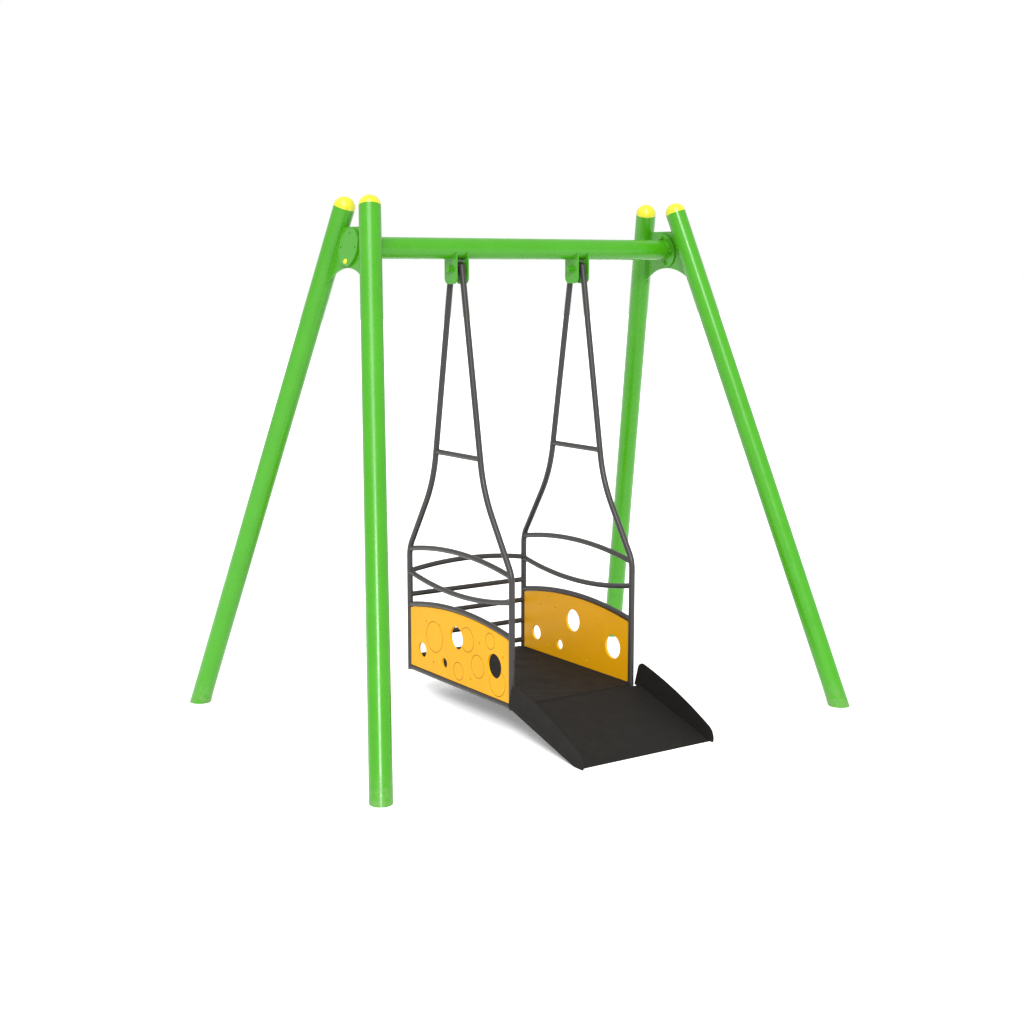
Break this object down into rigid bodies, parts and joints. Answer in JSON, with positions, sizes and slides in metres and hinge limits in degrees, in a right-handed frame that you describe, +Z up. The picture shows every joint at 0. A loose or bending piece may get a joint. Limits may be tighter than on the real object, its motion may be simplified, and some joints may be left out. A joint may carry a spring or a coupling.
{
  "type": "wheelchair platform swing",
  "caption": "Playground swing on an A-frame stand, with a caged wheelchair platform hung on rods and a fold-down entry ramp.",
  "frame": {"origin": "on the ground, below the middle of the crossbeam, midway between the four feet", "axes": "+X along the crossbeam, +Y towards the platform's closed rear, +Z up; the ramp runs out along -Y"},
  "size_m": [3.112, 2.3269, 2.8417],
  "materials": {
    "green_paint": "gloss powder coat",
    "yellow_cap": "gloss moulded plastic",
    "grey_paint": "satin powder coat",
    "black_paint": "textured anti-slip coat",
    "panel_plastic": "satin polyethylene sheet",
    "zinc_steel": "zinc plated"
  },
  "bodies": {
    "stand": {"beam_flange_left": "green_paint", "beam_flange_right": "green_paint", "bolt_covers": "yellow_cap", "clamp_disc_left": "green_paint", "clamp_disc_right": "green_paint", "crossbeam": "green_paint", "flange_bolts_left": "green_paint", "flange_bolts_right": "green_paint", "flange_nuts_left": "green_paint", "flange_nuts_right": "green_paint", "gusset_plate_left": "green_paint", "gusset_plate_right": "green_paint", "hanger_lugs_left": "green_paint", "hanger_lugs_right": "green_paint", "leg_cap_front_left": "yellow_cap", "leg_cap_front_right": "yellow_cap", "leg_cap_rear_left": "yellow_cap", "leg_cap_rear_right": "yellow_cap", "leg_front_left": "green_paint", "leg_front_right": "green_paint", "leg_rear_left": "green_paint", "leg_rear_right": "green_paint", "pivot_bolt_left": "green_paint", "pivot_bolt_right": "green_paint", "pivot_nut_left": "green_paint", "pivot_nut_right": "green_paint", "pivot_spacers": "zinc_steel"},
    "platform": {"hanger_rod_front_left": "grey_paint", "hanger_rod_front_right": "grey_paint", "hanger_rod_rear_left": "grey_paint", "hanger_rod_rear_right": "grey_paint", "bearing_housing_left": "grey_paint", "bearing_housing_right": "grey_paint", "bearings_left": "zinc_steel", "bearings_right": "zinc_steel", "rod_crossbar_left": "grey_paint", "rod_crossbar_right": "grey_paint", "top_rail_left": "grey_paint", "top_rail_right": "grey_paint", "middle_rail_left": "grey_paint", "middle_rail_right": "grey_paint", "panel_rail_left": "grey_paint", "panel_rail_right": "grey_paint", "bottom_rail_left": "grey_paint", "bottom_rail_right": "grey_paint", "side_panel_left": "panel_plastic", "side_panel_right": "panel_plastic", "panel_screws": "grey_paint", "guard_rail": "grey_paint", "guard_bars": "grey_paint", "floor_plate": "black_paint", "floor_cross_members": "black_paint", "floor_knuckles": "black_paint", "hinge_pin": "grey_paint"},
    "ramp": {"ramp_deck": "black_paint", "ramp_knuckles": "black_paint", "ramp_flange_left": "black_paint", "ramp_flange_right": "black_paint", "ramp_ribs": "black_paint"}
  },
  "joints": [
    {"name": "swing", "type": "hinge", "parent": "stand", "child": "platform", "pos_m": [0, 0, 2.467], "axis": [1, 0, 0], "range_deg": [-20, 20]},
    {"name": "ramp_fold", "type": "hinge", "parent": "platform", "child": "ramp", "pos_m": [0, -0.56335, 0.167], "axis": [-1, 0, 0], "range_deg": [0, 105]}
  ]
}
